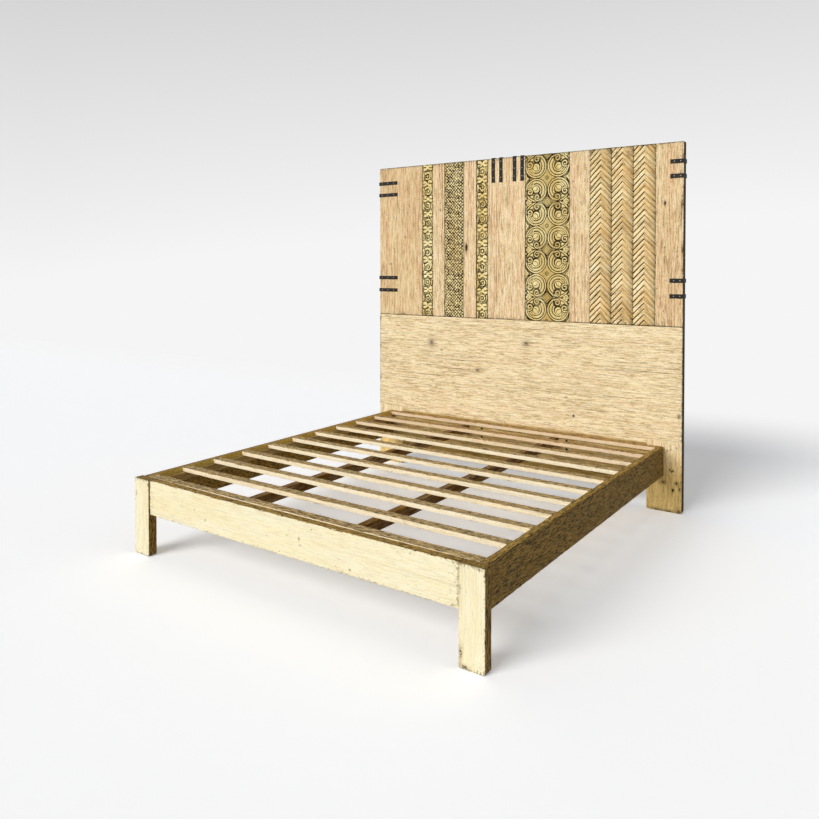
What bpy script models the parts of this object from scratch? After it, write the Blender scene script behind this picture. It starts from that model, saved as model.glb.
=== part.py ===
"""Wooden platform bed with a tall headboard of reclaimed boards, some of them carved, clasped by iron straps.

Metres, +Z up, floor at Z = 0. The headboard stands at +Y and the foot of the bed at -Y.
"""

import math

import bmesh
import bpy

# Clearance left between pieces that touch
GAP = 0.0003

# Platform
BED_WIDTH = 2.000
BED_LENGTH = 2.060
PLATFORM_HEIGHT = 0.375
RAIL_HEIGHT = 0.170
LEG_WIDTH = 0.110
LEG_DEPTH = 0.045
FOOT_RAIL_THICKNESS = 0.040
FOOT_RAIL_SETBACK = 0.006
SIDE_RAIL_THICKNESS = 0.034
SIDE_RAIL_INSET = 0.014
HEAD_RAIL_THICKNESS = 0.038
SLAT_COUNT = 11
SLAT_WIDTH = 0.050
SLAT_THICKNESS = 0.022
BEAM_WIDTH = 0.040
BEAM_HEIGHT = 0.050
BEAM_OFFSET = 0.323
BEAM_SEAT = 0.015
LEDGER_WIDTH = 0.024
LEDGER_HEIGHT = 0.040

# Headboard
HEADBOARD_WIDTH = 2.180
HEADBOARD_HEIGHT = 2.120
HEADBOARD_THICKNESS = 0.046
BOARD_THICKNESS = 0.023
PANEL_BOTTOM = 0.412
PANEL_TOP = 1.066
POST_WIDTH = 0.204
BOTTOM_RAIL_BOTTOM = 0.130
TOP_RAIL_HEIGHT = 0.160
MIDDLE_RAIL_HEIGHT = 0.170
BOARDS = (
    ("plain", 0.377),
    ("leaf", 0.089),
    ("plain", 0.097),
    ("lattice", 0.153),
    ("plain", 0.100),
    ("leaf", 0.090),
    ("plain", 0.274),
    ("scroll", 0.307),
    ("plain", 0.133),
    ("chevron", 0.136),
    ("chevron", 0.133),
    ("chevron", 0.132),
    ("plain", 0.159),
)

# Iron straps
STRAP_WIDTH = 0.024
STRAP_THICKNESS = 0.003
STRAP_BACK = 0.120
STRAP_FRONT_LEFT = 0.160
STRAP_FRONT_RIGHT = 0.076
STRAP_FRONT_TOP = 0.158
STRAP_DROPS = (0.110, 0.193, 0.788, 0.877)
STRAP_TOP_PLACES = (-0.143, -0.086, 0.014, 0.069)

# Bolts through the head rail into the bottom rail of the headboard
BOLT_HEAD_RADIUS = 0.0075
BOLT_HEAD_HEIGHT = 0.005
BOLT_RADIUS = 0.004
BOLT_LENGTH = 0.064
BOLT_PLACES = (-0.206, 0.400)
BOLT_HEIGHTS = (0.339, 0.285)

# Joinery and edges
TENON_SHARE = 0.6
TENON_DEPTH = 0.025
TENON_ROOT = 0.004
EDGE_ROUND = 0.0015
FOOT_ROUND = 0.012

# Derived planes
TOTAL_DEPTH = BED_LENGTH + HEADBOARD_THICKNESS + GAP + STRAP_THICKNESS
FOOT_Y = -TOTAL_DEPTH / 2
HEAD_Y = FOOT_Y + BED_LENGTH
BACK_Y = HEAD_Y + HEADBOARD_THICKNESS
STILE_Y = HEAD_Y + BOARD_THICKNESS
RAIL_BOTTOM = PLATFORM_HEIGHT - RAIL_HEIGHT
LEG_INNER = BED_WIDTH / 2 - LEG_WIDTH
RAIL_OUTER = BED_WIDTH / 2 - SIDE_RAIL_INSET
RAIL_INNER = RAIL_OUTER - SIDE_RAIL_THICKNESS
POST_OUTER = HEADBOARD_WIDTH / 2
POST_INNER = POST_OUTER - POST_WIDTH
FOOT_RAIL_FRONT = FOOT_Y + FOOT_RAIL_SETBACK
FOOT_RAIL_BACK = FOOT_RAIL_FRONT + FOOT_RAIL_THICKNESS
PLATFORM_BACK = max(FOOT_RAIL_BACK, FOOT_Y + LEG_DEPTH)
HEAD_RAIL_FRONT = HEAD_Y - HEAD_RAIL_THICKNESS
SLAT_BOTTOM = PLATFORM_HEIGHT - SLAT_THICKNESS
BEARING = SLAT_BOTTOM - GAP


def clear_scene():
    for obj in list(bpy.data.objects):
        bpy.data.objects.remove(obj, do_unlink=True)
    for group in list(bpy.data.collections):
        bpy.data.collections.remove(group)


def new_collection(name):
    group = bpy.data.collections.new(name)
    bpy.context.scene.collection.children.link(group)
    return group


def new_material(name, colour, roughness, metallic=0.0):
    material = bpy.data.materials.new(name)
    material.use_nodes = True
    shader = material.node_tree.nodes["Principled BSDF"]
    shader.inputs["Base Color"].default_value = (*colour, 1.0)
    shader.inputs["Roughness"].default_value = roughness
    shader.inputs["Metallic"].default_value = metallic
    material.diffuse_color = (*colour, 1.0)
    return material


clear_scene()
BED = new_collection("wooden_bed")
CUTTERS = new_collection("wooden_bed_cutters")
CUTTERS.hide_render = True
FRAME_WOOD = new_material("frame_wood", (0.62, 0.46, 0.24), 0.70)
SLAT_WOOD = new_material("slat_wood", (0.60, 0.42, 0.23), 0.72)
SUPPORT_WOOD = new_material("support_wood", (0.20, 0.12, 0.05), 0.80)
PANEL_WOOD = new_material("panel_wood", (0.62, 0.47, 0.26), 0.72)
BOARD_WOOD = new_material("board_wood", (0.58, 0.42, 0.24), 0.75)
CARVED_WOOD = new_material("carved_wood", (0.50, 0.37, 0.17), 0.80)
LATTICE_WOOD = new_material("lattice_wood", (0.30, 0.23, 0.11), 0.82)
CHEVRON_WOOD = new_material("chevron_wood", (0.52, 0.37, 0.19), 0.78)
IRON = new_material("iron", (0.02, 0.018, 0.017), 0.55, 0.8)
WOOD_OF = {
    "plain": BOARD_WOOD,
    "leaf": CARVED_WOOD,
    "lattice": LATTICE_WOOD,
    "scroll": CARVED_WOOD,
    "chevron": CHEVRON_WOOD,
}


def place(name, mesh, centre, group, material=None):
    obj = bpy.data.objects.new(name, mesh)
    obj.location = centre
    group.objects.link(obj)
    if material:
        mesh.materials.append(material)
    else:
        obj.hide_render = True
        obj.display_type = "WIRE"
    return obj


def block(name, xs, ys, zs, material=None, edge=0.0, foot=0.0):
    """A box between the given limits; `foot` rounds its two lower edges that run along Y."""
    size = (xs[1] - xs[0], ys[1] - ys[0], zs[1] - zs[0])
    centre = tuple(sum(limits) / 2 for limits in (xs, ys, zs))
    made = bmesh.new()
    bmesh.ops.create_cube(made, size=1.0)
    bmesh.ops.scale(made, vec=size, verts=made.verts)
    if foot:
        low = [
            e
            for e in made.edges
            if all(v.co.z < 0 for v in e.verts) and e.verts[0].co.x == e.verts[1].co.x
        ]
        bmesh.ops.bevel(made, geom=low, offset=foot, segments=3, profile=0.5, affect="EDGES")
    mesh = bpy.data.meshes.new(name)
    made.to_mesh(mesh)
    made.free()
    obj = place(name, mesh, centre, BED if material else CUTTERS, material)
    if edge:
        bevel = obj.modifiers.new("worn_edge", "BEVEL")
        bevel.width = edge
        bevel.segments = 1
        bevel.limit_method = "ANGLE"
        bevel.angle_limit = math.radians(40)
    return obj


def turned(name, profile, axis_point, material=None, sides=20):
    """A solid of revolution about an axis along Y; the profile lists (radius, distance along Y)."""
    made = bmesh.new()
    rings = []
    for radius, along in profile:
        if radius == 0:
            rings.append([made.verts.new((0.0, along, 0.0))])
            continue
        turns = [2 * math.pi * i / sides for i in range(sides)]
        rings.append([made.verts.new((radius * math.cos(t), along, radius * math.sin(t))) for t in turns])
    for first, second in zip(rings, rings[1:]):
        for i in range(sides):
            j = (i + 1) % sides
            corners = [first[i % len(first)], first[j % len(first)]]
            corners += [second[j % len(second)], second[i % len(second)]]
            made.faces.new(list(dict.fromkeys(corners)))
    bmesh.ops.recalc_face_normals(made, faces=made.faces)
    mesh = bpy.data.meshes.new(name)
    made.to_mesh(mesh)
    made.free()
    return place(name, mesh, axis_point, BED if material else CUTTERS, material)


def boolean(target, tool, operation):
    step = target.modifiers.new(tool.name, "BOOLEAN")
    step.operation = operation
    step.solver = "EXACT"
    step.object = tool


def grown(limits, by):
    return (min(limits) - by, max(limits) + by)


def tenon(rail, into, label, xs, ys, zs):
    """Adds a tenon to one piece and cuts its mortise, a gap wider all round, in the other."""
    boolean(rail, block(f"tenon_{label}", sorted(xs), sorted(ys), zs), "UNION")
    boolean(into, block(f"mortise_{label}", grown(xs, GAP), grown(ys, GAP), grown(zs, GAP)), "DIFFERENCE")


def middle_band(low, high, share):
    half = (high - low) * share / 2
    return ((low + high) / 2 - half, (low + high) / 2 + half)


def build_platform():
    """Legs, rails, ledgers, beams and slats, and the tenons that join the rails to the legs."""
    pieces = {}
    rail_zs = (RAIL_BOTTOM, PLATFORM_HEIGHT)
    tenon_zs = middle_band(*rail_zs, TENON_SHARE)
    leg_back = FOOT_Y + LEG_DEPTH

    foot_xs = (-LEG_INNER + GAP, LEG_INNER - GAP)
    foot_ys = (FOOT_RAIL_FRONT, FOOT_RAIL_BACK)
    foot_rail = block("foot_rail", foot_xs, foot_ys, rail_zs, FRAME_WOOD, EDGE_ROUND)
    head_ys = (HEAD_RAIL_FRONT, HEAD_Y - GAP)
    head_xs = (-RAIL_INNER + GAP, RAIL_INNER - GAP)
    head_rail = block("head_rail", head_xs, head_ys, (RAIL_BOTTOM, BEARING), FRAME_WOOD, EDGE_ROUND)

    for side, name in ((-1, "left"), (1, "right")):
        leg_xs = sorted((side * LEG_INNER, side * BED_WIDTH / 2))
        leg_zs = (0.0, PLATFORM_HEIGHT)
        leg = block(f"front_leg_{name}", leg_xs, (FOOT_Y, leg_back), leg_zs, FRAME_WOOD, EDGE_ROUND, FOOT_ROUND)
        rail_xs = sorted((side * RAIL_INNER, side * RAIL_OUTER))
        rail_ys = (leg_back + GAP, HEAD_Y - GAP)
        rail = block(f"side_rail_{name}", rail_xs, rail_ys, rail_zs, FRAME_WOOD, EDGE_ROUND)

        foot_tenon_xs = (side * (LEG_INNER - TENON_ROOT), side * (LEG_INNER + LEG_WIDTH * 0.36))
        foot_tenon_ys = middle_band(foot_ys[0], min(foot_ys[1], leg_back), 0.45)
        tenon(foot_rail, leg, f"foot_{name}", foot_tenon_xs, foot_tenon_ys, tenon_zs)
        rail_tenon_xs = middle_band(*rail_xs, 0.5)
        tenon(rail, leg, f"rail_{name}", rail_tenon_xs, (leg_back - TENON_DEPTH, leg_back + TENON_ROOT), tenon_zs)
        stub_xs = (side * (RAIL_INNER - TENON_ROOT), side * (RAIL_INNER + SIDE_RAIL_THICKNESS * 0.35))
        tenon(head_rail, rail, f"stub_{name}", stub_xs, middle_band(*head_ys, 0.45), tenon_zs)

        ledger_xs = sorted((side * (RAIL_INNER - GAP - LEDGER_WIDTH), side * (RAIL_INNER - GAP)))
        ledger_ys = (PLATFORM_BACK + GAP, HEAD_RAIL_FRONT - GAP)
        ledger_zs = (BEARING - LEDGER_HEIGHT, BEARING)
        block(f"ledger_{name}", ledger_xs, ledger_ys, ledger_zs, SUPPORT_WOOD, EDGE_ROUND)

        beam_xs = (side * BEAM_OFFSET - BEAM_WIDTH / 2, side * BEAM_OFFSET + BEAM_WIDTH / 2)
        beam_ys = (FOOT_RAIL_BACK - BEAM_SEAT, HEAD_RAIL_FRONT + BEAM_SEAT)
        beam_zs = (BEARING - BEAM_HEIGHT, BEARING)
        block(f"support_beam_{name}", beam_xs, beam_ys, beam_zs, SUPPORT_WOOD, EDGE_ROUND)
        seat_xs = grown(beam_xs, GAP)
        foot_seat = block(f"foot_seat_{name}", seat_xs, (beam_ys[0] - GAP, FOOT_RAIL_BACK + 0.02), grown(beam_zs, GAP))
        boolean(foot_rail, foot_seat, "DIFFERENCE")
        seat_zs = (beam_zs[0] - GAP, BEARING + 0.02)
        head_seat = block(f"head_seat_{name}", seat_xs, (HEAD_RAIL_FRONT - 0.02, beam_ys[1] + GAP), seat_zs)
        boolean(head_rail, head_seat, "DIFFERENCE")
        pieces[f"rail_{name}"] = rail

    first = PLATFORM_BACK + GAP
    last = HEAD_Y - GAP - SLAT_WIDTH
    slat_xs = (-RAIL_INNER + GAP, RAIL_INNER - GAP)
    for i in range(SLAT_COUNT):
        front = first + (last - first) * i / max(SLAT_COUNT - 1, 1)
        slat_ys = (front, front + SLAT_WIDTH)
        slat_zs = (SLAT_BOTTOM, PLATFORM_HEIGHT)
        block(f"slat_{i + 1:02d}", slat_xs, slat_ys, slat_zs, SLAT_WOOD, EDGE_ROUND)
    pieces["head_rail"] = head_rail
    return pieces


def build_headboard(pieces):
    """Rebated posts, back rails, the lower panel and the row of upper boards."""
    rail_zs = (RAIL_BOTTOM, PLATFORM_HEIGHT)
    stile_ys = (STILE_Y + GAP, BACK_Y)
    inner_xs = (-POST_INNER + GAP, POST_INNER - GAP)
    bottom_zs = (BOTTOM_RAIL_BOTTOM, PANEL_BOTTOM - GAP)
    bottom_rail = block("headboard_bottom_rail", inner_xs, (HEAD_Y, BACK_Y), bottom_zs, FRAME_WOOD, EDGE_ROUND)
    middle_zs = (PANEL_TOP - MIDDLE_RAIL_HEIGHT / 2, PANEL_TOP + MIDDLE_RAIL_HEIGHT / 2)
    middle_rail = block("headboard_middle_rail", inner_xs, stile_ys, middle_zs, BOARD_WOOD, EDGE_ROUND)
    top_zs = (HEADBOARD_HEIGHT - TOP_RAIL_HEIGHT, HEADBOARD_HEIGHT)
    top_rail = block("headboard_top_rail", inner_xs, stile_ys, top_zs, BOARD_WOOD, EDGE_ROUND)

    for side, name in ((-1, "left"), (1, "right")):
        post_xs = sorted((side * POST_INNER, side * POST_OUTER))
        post_zs = (0.0, HEADBOARD_HEIGHT)
        post = block(f"headboard_post_{name}", post_xs, (HEAD_Y, BACK_Y), post_zs, FRAME_WOOD, EDGE_ROUND, FOOT_ROUND)
        rebate_ys = (HEAD_Y - 0.02, STILE_Y + GAP)
        rebate_zs = (PANEL_BOTTOM, HEADBOARD_HEIGHT + 0.02)
        boolean(post, block(f"rebate_{name}", grown(post_xs, 0.02), rebate_ys, rebate_zs), "DIFFERENCE")
        reach_xs = (side * (POST_INNER - TENON_ROOT), side * (POST_INNER + POST_WIDTH * 0.18))
        for label, rail, ys, zs in (
            ("bottom", bottom_rail, (HEAD_Y, BACK_Y), bottom_zs),
            ("middle", middle_rail, stile_ys, middle_zs),
            ("top", top_rail, stile_ys, top_zs),
        ):
            tenon(rail, post, f"{label}_{name}", reach_xs, middle_band(*ys, 0.45), middle_band(*zs, TENON_SHARE))
        rail_xs = sorted((side * RAIL_INNER, side * RAIL_OUTER))
        head_tenon_ys = (HEAD_Y - TENON_ROOT, HEAD_Y + TENON_DEPTH)
        tenon_zs = middle_band(*rail_zs, TENON_SHARE)
        tenon(pieces[f"rail_{name}"], post, f"head_{name}", middle_band(*rail_xs, 0.5), head_tenon_ys, tenon_zs)

    board_ys = (HEAD_Y, STILE_Y)
    panel_zs = (PANEL_BOTTOM + GAP, PANEL_TOP - GAP / 2)
    block("lower_panel", (-POST_OUTER, POST_OUTER), board_ys, panel_zs, PANEL_WOOD, EDGE_ROUND)
    scale = HEADBOARD_WIDTH / sum(width for _, width in BOARDS)
    left = -POST_OUTER
    for i, (kind, width) in enumerate(BOARDS):
        right = left + width * scale
        board_xs = (left + GAP / 2, right - GAP / 2)
        board_zs = (PANEL_TOP + GAP / 2, HEADBOARD_HEIGHT)
        block(f"board_{i + 1:02d}_{kind}", board_xs, board_ys, board_zs, WOOD_OF[kind], EDGE_ROUND)
        left = right
    pieces["bottom_rail"] = bottom_rail


def clasp(name, centre, reach_front, reach_back, across):
    """A flat iron bar bent to a U that clasps the headboard's edge.

    `across` turns a point (inward, y, sideways), inward measured from the headboard's edge, into x, y, z.
    """
    front = HEAD_Y - GAP
    back = BACK_Y + GAP
    outline = (
        (reach_front, front - STRAP_THICKNESS),
        (reach_front, front),
        (-GAP, front),
        (-GAP, back),
        (reach_back, back),
        (reach_back, back + STRAP_THICKNESS),
        (-GAP - STRAP_THICKNESS, back + STRAP_THICKNESS),
        (-GAP - STRAP_THICKNESS, front - STRAP_THICKNESS),
    )
    made = bmesh.new()
    rows = []
    for sideways in (-STRAP_WIDTH / 2, STRAP_WIDTH / 2):
        rows.append([made.verts.new(across(inward, y, sideways)) for inward, y in outline])
    made.faces.new(rows[0])
    made.faces.new(list(reversed(rows[1])))
    for i in range(len(outline)):
        j = (i + 1) % len(outline)
        made.faces.new((rows[0][j], rows[0][i], rows[1][i], rows[1][j]))
    bmesh.ops.recalc_face_normals(made, faces=made.faces)
    mesh = bpy.data.meshes.new(name)
    made.to_mesh(mesh)
    made.free()
    place(name, mesh, centre, BED, IRON)


def build_straps():
    for i, drop in enumerate(STRAP_DROPS):
        for side, name, reach in ((-1, "left", STRAP_FRONT_LEFT), (1, "right", STRAP_FRONT_RIGHT)):
            centre = (side * POST_OUTER, 0.0, HEADBOARD_HEIGHT - drop)
            clasp(
                f"strap_{name}_{i + 1}",
                centre,
                reach,
                STRAP_BACK,
                lambda inward, y, sideways, side=side: (-side * inward, y, sideways),
            )
    for i, x in enumerate(STRAP_TOP_PLACES):
        centre = (x, 0.0, HEADBOARD_HEIGHT)
        clasp(
            f"strap_top_{i + 1}",
            centre,
            STRAP_FRONT_TOP,
            STRAP_BACK,
            lambda inward, y, sideways: (sideways, y, -inward),
        )


def build_bolts(pieces):
    seat = HEAD_RAIL_FRONT - GAP
    profile = (
        (0.0, -BOLT_HEAD_HEIGHT),
        (BOLT_HEAD_RADIUS * 0.6, -BOLT_HEAD_HEIGHT * 0.9),
        (BOLT_HEAD_RADIUS, -BOLT_HEAD_HEIGHT * 0.4),
        (BOLT_HEAD_RADIUS, 0.0),
        (BOLT_RADIUS, 0.0),
        (BOLT_RADIUS, BOLT_LENGTH * 0.9),
        (0.0, BOLT_LENGTH),
    )
    hole = BOLT_RADIUS + GAP
    end = BOLT_LENGTH + GAP
    drilling = ((0.0, -0.02), (hole, -0.02), (hole, end), (0.0, end))
    for i, x in enumerate(BOLT_PLACES):
        for j, z in enumerate(BOLT_HEIGHTS):
            label = f"{('left', 'right')[i]}_{j + 1}"
            turned(f"bolt_{label}", profile, (x, seat, z), IRON)
            drill = turned(f"drill_{label}", drilling, (x, seat, z))
            boolean(pieces["head_rail"], drill, "DIFFERENCE")
            boolean(pieces["bottom_rail"], drill, "DIFFERENCE")


PIECES = build_platform()
build_headboard(PIECES)
build_straps()
build_bolts(PIECES)
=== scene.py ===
import math
import random

import bmesh
import bpy
import numpy as np
from mathutils import Matrix, Vector


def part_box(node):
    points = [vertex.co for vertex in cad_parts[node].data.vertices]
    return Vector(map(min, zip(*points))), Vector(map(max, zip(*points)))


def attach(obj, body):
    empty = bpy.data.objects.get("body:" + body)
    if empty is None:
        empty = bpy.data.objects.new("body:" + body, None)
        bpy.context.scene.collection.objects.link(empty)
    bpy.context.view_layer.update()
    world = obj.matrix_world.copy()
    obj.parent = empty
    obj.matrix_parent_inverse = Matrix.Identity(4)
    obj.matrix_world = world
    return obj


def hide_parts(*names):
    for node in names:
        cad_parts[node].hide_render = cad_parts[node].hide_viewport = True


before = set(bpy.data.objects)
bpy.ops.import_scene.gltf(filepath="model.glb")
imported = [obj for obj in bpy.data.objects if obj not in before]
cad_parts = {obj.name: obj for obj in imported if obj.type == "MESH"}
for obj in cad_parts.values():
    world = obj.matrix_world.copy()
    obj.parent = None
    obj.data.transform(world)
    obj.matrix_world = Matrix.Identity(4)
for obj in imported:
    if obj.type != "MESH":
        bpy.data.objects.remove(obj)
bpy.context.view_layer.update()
FOOT_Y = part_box("front_leg_left")[0][1]
HEAD_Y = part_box("lower_panel")[0][1]

# The photograph's view: 819 pixels across, camera at the right of the foot
PHOTO_SIDE = 819.0
FOCAL_PIXELS = 738.21
VIEW_CENTRE = (440.61, 282.48)
CAMERA_PLACE = (2.26629, FOOT_Y - 2.17401, 1.41687)
CAMERA_TURN = 0.58843
CAMERA_DROP = 0.02262

# Sockets of node groups
COLOUR, NUMBER, VECTOR, WHOLE = "NodeSocketColor", "NodeSocketFloat", "NodeSocketVector", "NodeSocketInt"
GEOMETRY, MATERIAL, OBJECT = "NodeSocketGeometry", "NodeSocketMaterial", "NodeSocketObject"


def srgb(red, green, blue):
    """A colour as the eye names it, 0 to 255, turned to the linear values that shaders read."""
    out = []
    for channel in (red, green, blue):
        share = channel / 255
        out.append(share / 12.92 if share <= 0.04045 else ((share + 0.055) / 1.055) ** 2.4)
    return (*out, 1.0)


def shaded(colour, share):
    """A share of each channel of a colour."""
    return srgb(*[channel * share for channel in colour])


def tint(wanted, pale):
    """The colour that, multiplied with a pale timber, gives the wanted one."""
    return [min(1.0, part / whole) for part, whole in zip(srgb(*wanted), srgb(*pale))]


class Flow:
    """A value that runs through a node tree; sums and comparisons on it place the nodes that work them out."""

    def __init__(self, socket):
        self.socket = socket
        self.tree = socket.id_data

    def __add__(self, other):
        return worked("ADD", self, other)

    def __sub__(self, other):
        return worked("SUBTRACT", self, other)

    def __rsub__(self, other):
        return worked("SUBTRACT", other, self)

    def __mul__(self, other):
        return worked("MULTIPLY", self, other)

    def __truediv__(self, other):
        return worked("DIVIDE", self, other)

    def __rtruediv__(self, other):
        return worked("DIVIDE", other, self)

    def __pow__(self, other):
        return worked("POWER", self, other)

    def __abs__(self):
        return worked("ABSOLUTE", self)

    def __lt__(self, other):
        return worked("LESS_THAN", self, other)

    def __gt__(self, other):
        return worked("GREATER_THAN", self, other)


class Outlets:
    """A node's outputs as flows, by name or place."""

    def __init__(self, node):
        self.node = node

    def __getitem__(self, key):
        return Flow(self.node.outputs[key])


def first_flow(*values):
    return next(value for value in values if isinstance(value, Flow))


def wire(tree, kind, inputs=None, **settings):
    """Places a node, sets its properties, then joins or fills its inputs, keyed by name or place."""
    made = tree.nodes.new(kind)
    for key, value in settings.items():
        setattr(made, key, value)
    for key, value in (inputs or {}).items():
        if isinstance(value, Flow):
            tree.links.new(value.socket, made.inputs[key])
        else:
            made.inputs[key].default_value = value
    return Outlets(made)


def worked(operation, *values, **settings):
    """A maths node on the values, of the vector kind if the first flow among them is a vector."""
    lead = first_flow(*values)
    kind = "ShaderNodeVectorMath" if lead.socket.type in ("VECTOR", "RGBA") else "ShaderNodeMath"
    return wire(lead.tree, kind, dict(enumerate(values)), operation=operation, **settings)[0]


def most(first, second):
    return worked("MAXIMUM", first, second)


def least(first, second):
    return worked("MINIMUM", first, second)


def length(vector):
    return wire(vector.tree, "ShaderNodeVectorMath", {0: vector}, operation="LENGTH")["Value"]


def split(vector):
    parts = wire(vector.tree, "ShaderNodeSeparateXYZ", {0: vector})
    return [parts[axis] for axis in range(3)]


def combined(*parts):
    """A vector of up to three parts."""
    return wire(first_flow(*parts).tree, "ShaderNodeCombineXYZ", dict(enumerate(parts)))[0]


def ramp(value, low, high, to_low=0.0, to_high=1.0):
    """A value carried from one range to another, held at the ends."""
    return wire(value.tree, "ShaderNodeMapRange", {0: value, 1: low, 2: high, 3: to_low, 4: to_high})[0]


def blend(share, first, second, mode="MIX"):
    """The first colour with a share of the second laid over it."""
    tree = first_flow(share, first, second).tree
    return wire(tree, "ShaderNodeMix", {0: share, 6: first, 7: second}, data_type="RGBA", blend_type=mode)[2]


def noise(place, along, across, detail=3.0, roughness=0.55):
    """Noise of the given cycles per metre along the place's X and across it."""
    scaled = place * (along, across, across)
    inputs = {"Vector": scaled, "Scale": 1.0, "Detail": detail, "Roughness": roughness}
    return wire(place.tree, "ShaderNodeTexNoise", inputs)[0]


def group_tree(name, kind, inputs, outputs):
    """A node group with named ways in and out; `give` joins flows to the ways out and hands back the group."""
    tree = bpy.data.node_groups.new(name, kind)
    for label, socket_type, default in inputs:
        socket = tree.interface.new_socket(label, in_out="INPUT", socket_type=socket_type)
        if default is not None:
            socket.default_value = default
    for label, socket_type in outputs:
        tree.interface.new_socket(label, in_out="OUTPUT", socket_type=socket_type)
    given = Outlets(tree.nodes.new("NodeGroupInput"))
    result = tree.nodes.new("NodeGroupOutput").inputs

    def give(**flows):
        for label, flow in flows.items():
            tree.links.new(flow.socket, result[label])
        return tree

    return tree, given, give


def weathered_wood():
    """Old bleached timber: broad tone, growth lines, pores, flecks, stains and worm holes along the grain."""
    inputs = (
        ("Grain", VECTOR, None), ("Pale", COLOUR, srgb(225, 205, 160)), ("Warm", COLOUR, srgb(205, 165, 110)),
        ("Dark", COLOUR, srgb(95, 65, 30)), ("Lines", NUMBER, 0.3), ("Pores", NUMBER, 0.5), ("Flecks", NUMBER, 0.5),
        ("Stains", NUMBER, 0.3), ("Holes", NUMBER, 0.0), ("Coarse", NUMBER, 1.0),
    )
    outputs = (("Color", COLOUR), ("Roughness", NUMBER), ("Height", NUMBER))
    tree, given, give = group_tree("weathered_wood", "ShaderNodeTree", inputs, outputs)
    grain, pale, warm, dark = (given[label] for label in ("Grain", "Pale", "Warm", "Dark"))
    colour = blend(ramp(noise(grain, 2.6, 17.0, 4.0), 0.36, 0.64), pale, warm)
    patch = ramp(noise(grain, 26.0, 70.0, 3.0, 0.6), 0.46, 0.66, 0.0, 0.5)
    colour = blend(patch, colour, warm)

    # Growth lines, where the timber drifts into them
    rings_per_metre, wander = 40.0, 8.0
    drift = noise(grain, 1.2, 6.0)
    ring = split(grain)[1] * rings_per_metre + drift * wander
    line = abs(worked("FRACT", ring) - 0.5)
    line = ramp(line, 0.40, 0.5) * ramp(drift, 0.42, 0.60)
    colour = blend(line * given["Lines"], colour, dark)
    stain = ramp(noise(grain, 3.5, 11.0, 5.0, 0.65), 0.50, 0.72)
    colour = blend(stain * given["Stains"], colour, dark)

    # Dark pores and the pale fibres rubbed between them
    scale = {0: grain, "Scale": 1.0 / given["Coarse"]}
    tight = wire(tree, "ShaderNodeVectorMath", scale, operation="SCALE")[0]
    zone = ramp(noise(grain, 1.1, 8.0), 0.40, 0.60, 0.2, 1.0)
    streak = noise(tight, 2.0, 130.0, 3.0, 0.6)
    fibre = noise(tight, 14.0, 150.0, 4.0, 0.8)
    seam = most(ramp(streak, 0.55, 0.72) * zone, ramp(fibre, 0.50, 0.64, 0.0, 0.6))
    colour = blend(seam * given["Pores"], colour, dark)
    bleached = blend(0.6, pale, (1.0, 0.98, 0.86, 1.0))
    rubbed = most(ramp(streak, 0.46, 0.28, 0.0, 0.5), ramp(fibre, 0.49, 0.36, 0.0, 0.8))
    colour = blend(rubbed * given["Pores"], colour, bleached)

    dash = ramp(noise(tight, 9.0, 230.0, 2.0), 0.63, 0.72) * zone
    pit = ramp(noise(tight, 110.0, 220.0, 2.0), 0.62, 0.74)
    fleck = most(dash, pit)
    colour = blend(fleck * given["Flecks"], colour, dark)
    worm = wire(tree, "ShaderNodeTexVoronoi", {"Vector": grain * (22.0, 34.0, 34.0), "Scale": 1.0})
    chosen = wire(tree, "ShaderNodeSeparateColor", {0: worm["Color"]})[0] < 0.22
    hole = ramp(worm["Distance"], 0.13, 0.07) * chosen * given["Holes"]
    colour = blend(hole, colour, (0.012, 0.008, 0.004, 1.0))
    height = fibre - (seam + fleck * 0.6) - hole * 2.0
    return give(Color=colour, Roughness=ramp(seam, 0.0, 1.0, 0.62, 0.85), Height=height)


def timber_mark():
    """A knot or gouge on a board's face: a cluster of dark crumbs, closest at its centre, in a stain."""
    inputs = (
        ("Place", VECTOR, None), ("Centre", VECTOR, None), ("Reach", VECTOR, (0.02, 1.0, 0.02)),
        ("Solid", NUMBER, 0.22),
    )
    outputs = (("Mark", NUMBER), ("Stain", NUMBER))
    _, given, give = group_tree("timber_mark", "ShaderNodeTree", inputs, outputs)
    gap = length((given["Place"] - given["Centre"]) / given["Reach"])
    crumbs = noise(given["Place"], 190.0, 190.0, 3.0, 0.7)
    close = (1.0 - gap) * given["Solid"]
    return give(Mark=ramp(crumbs + close, 0.58, 0.74), Stain=ramp(gap - crumbs, 1.3, -0.3))


def plank_rim():
    """How far a point lies from its plank's nearest arris and from its nearest end, in metres."""
    inputs = (("Spot", VECTOR, None), ("Half", VECTOR, None))
    outputs = (("Rim", NUMBER), ("End", NUMBER))
    _, given, give = group_tree("plank_rim", "ShaderNodeTree", inputs, outputs)
    end, side, skin = split(given["Half"] - abs(given["Spot"]))
    return give(Rim=most(least(end, side), least(most(end, side), skin)), End=end)


WEATHERED_WOOD = weathered_wood()
TIMBER_MARK = timber_mark()
PLANK_RIM = plank_rim()
TONE_SHARE = 0.6
# How far back faces take the sides' painted shade, and the factor that keeps the foot's painted shade off them
BACK_AWAY, FRONT_ONLY = 0.22, 4.5
# Streaks that the saw left on the painted shade of faces away from the front, fainter on a rail's strip of painted
# light between these heights
SAW_STREAKS, CROWN_STREAKS = 0.95, 0.3
CROWN_SPAN = (0.325, 0.345)
BARE_TIMBER = srgb(255, 240, 200)
KNOT = (0.045, 0.030, 0.014, 1.0)
USUAL_SOLID = 0.22


def new_material(name):
    material = bpy.data.materials.new(name)
    material.use_nodes = True
    return material, material.node_tree


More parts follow.
